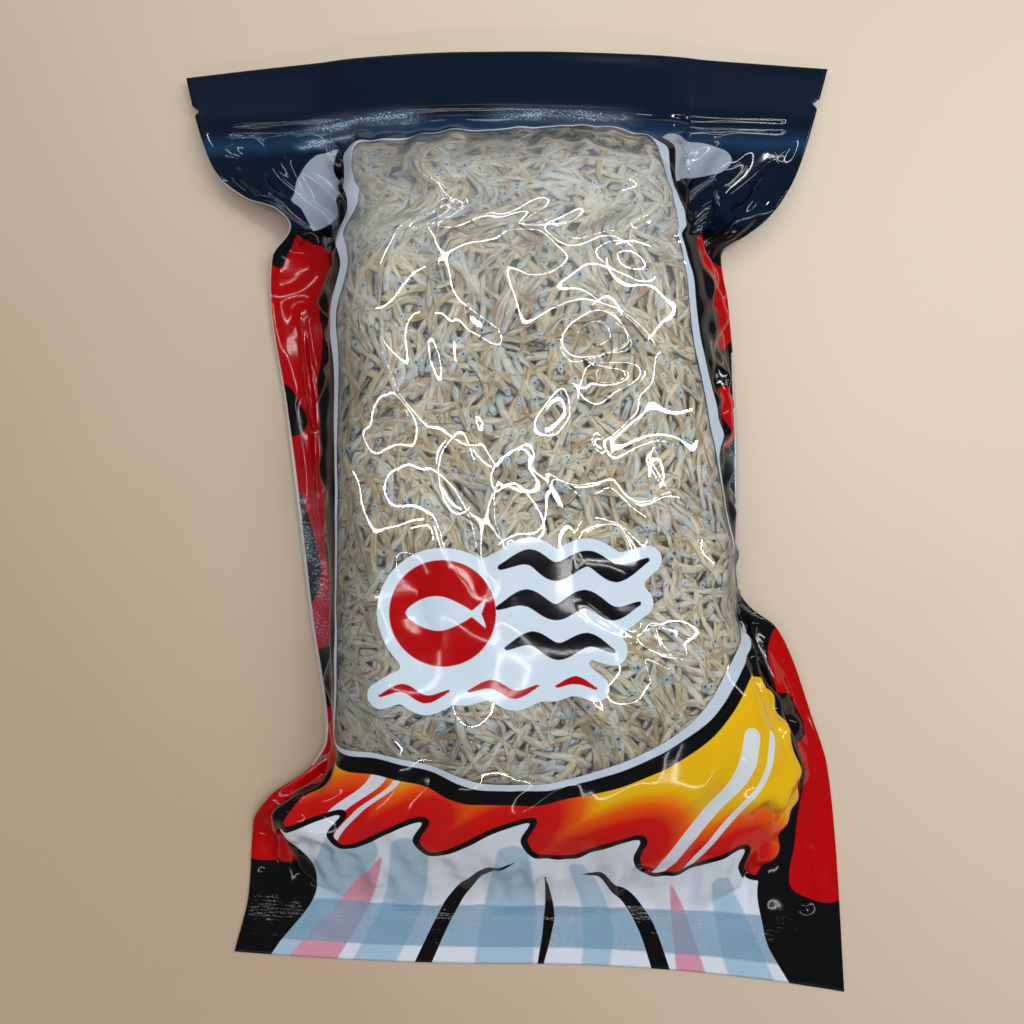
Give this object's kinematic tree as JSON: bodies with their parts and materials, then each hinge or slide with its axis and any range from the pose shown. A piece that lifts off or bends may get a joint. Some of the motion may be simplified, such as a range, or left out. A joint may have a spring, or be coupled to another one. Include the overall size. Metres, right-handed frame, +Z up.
{
  "type": "zip pouch of dried whitebait",
  "caption": "Flat zip pouch of dried whitebait, lying clear window up, with a printed header, side fins and end seal",
  "frame": {"origin": "below the middle of the pouch's bounding box, on the surface that it lies on", "axes": "+X across the pouch, +Y towards the zip, +Z up out of the window"},
  "size_m": [0.2528, 0.3586, 0.0477],
  "materials": {
    "printed_film": "glossy printed laminate in navy, red, black and pale grey, with a matte heat seal",
    "whitebait": "dry, pale beige fish skin with small silver-blue eyes, satin where it is ribbed",
    "clear_film": "clear, glossy, lightly wrinkled window film"
  },
  "bodies": {
    "root": {"pouch": "printed_film", "whitebait": "whitebait"}
  },
  "joints": []
}
